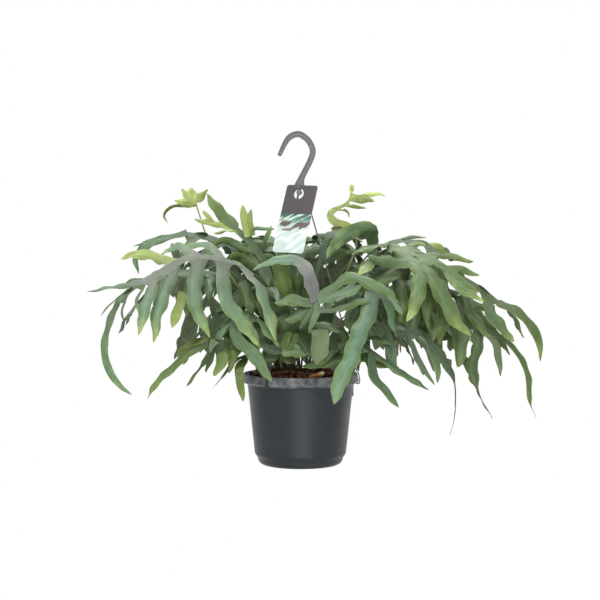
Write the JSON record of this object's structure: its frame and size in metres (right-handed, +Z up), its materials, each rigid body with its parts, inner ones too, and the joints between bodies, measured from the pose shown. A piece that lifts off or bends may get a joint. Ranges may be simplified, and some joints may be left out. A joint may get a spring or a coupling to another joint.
{
  "type": "hanging potted fern",
  "caption": "Blue star fern growing in a dark plastic hanging pot, with a moulded hook on thin arms, a bare plant tag and arching grey-green fronds.",
  "frame": {"origin": "centre of the underside of the pot's floor, on the pot's axis", "axes": "+Z up along the pot's axis towards the hook, +X along the plant's widest spread, +Y away from the side that the tag faces"},
  "size_m": [0.6335, 0.459, 0.4834],
  "materials": {
    "anthracite_plastic": "satin",
    "grey_plastic": "satin",
    "tag_card": "printed card",
    "potting_mix": "loose bark and peat",
    "rhizome": "furry scales",
    "frond_blue_green": "waxy bloom",
    "frond_young_green": "waxy bloom"
  },
  "bodies": {
    "root": {"hanging_pot": "anthracite_plastic", "potting_mix": "potting_mix", "rhizome_1": "rhizome", "rhizome_2": "rhizome", "rhizome_3": "rhizome", "rhizome_4": "rhizome", "hanger_hook": "grey_plastic", "hanger_strand_1": "grey_plastic", "hanger_strand_2": "grey_plastic", "hanger_strand_3": "grey_plastic", "plant_tag": "tag_card", "frond_01": "frond_blue_green", "frond_02": "frond_blue_green", "frond_03": "frond_blue_green", "frond_04": "frond_blue_green", "frond_05": "frond_blue_green", "frond_06": "frond_blue_green", "frond_07": "frond_blue_green", "frond_08": "frond_blue_green", "frond_09": "frond_blue_green", "frond_10": "frond_blue_green", "frond_11": "frond_young_green", "frond_12": "frond_young_green", "frond_13": "frond_blue_green", "frond_14": "frond_blue_green", "frond_15": "frond_blue_green", "frond_16": "frond_blue_green", "frond_17": "frond_blue_green", "frond_18": "frond_blue_green", "frond_19": "frond_blue_green", "frond_20": "frond_blue_green", "frond_21": "frond_blue_green", "frond_22": "frond_blue_green", "frond_23": "frond_blue_green", "frond_24": "frond_blue_green", "frond_25": "frond_blue_green", "frond_26": "frond_blue_green", "frond_27": "frond_blue_green", "frond_28": "frond_blue_green", "frond_29": "frond_blue_green", "frond_30": "frond_blue_green", "frond_31": "frond_blue_green", "frond_32": "frond_blue_green", "frond_33": "frond_blue_green", "frond_34": "frond_blue_green", "frond_35": "frond_blue_green", "frond_36": "frond_blue_green", "frond_37": "frond_blue_green", "frond_38": "frond_blue_green", "frond_39": "frond_blue_green", "frond_40": "frond_blue_green", "frond_41": "frond_blue_green", "frond_42": "frond_blue_green", "frond_43": "frond_blue_green", "frond_44": "frond_blue_green", "frond_45": "frond_blue_green"}
  },
  "joints": []
}
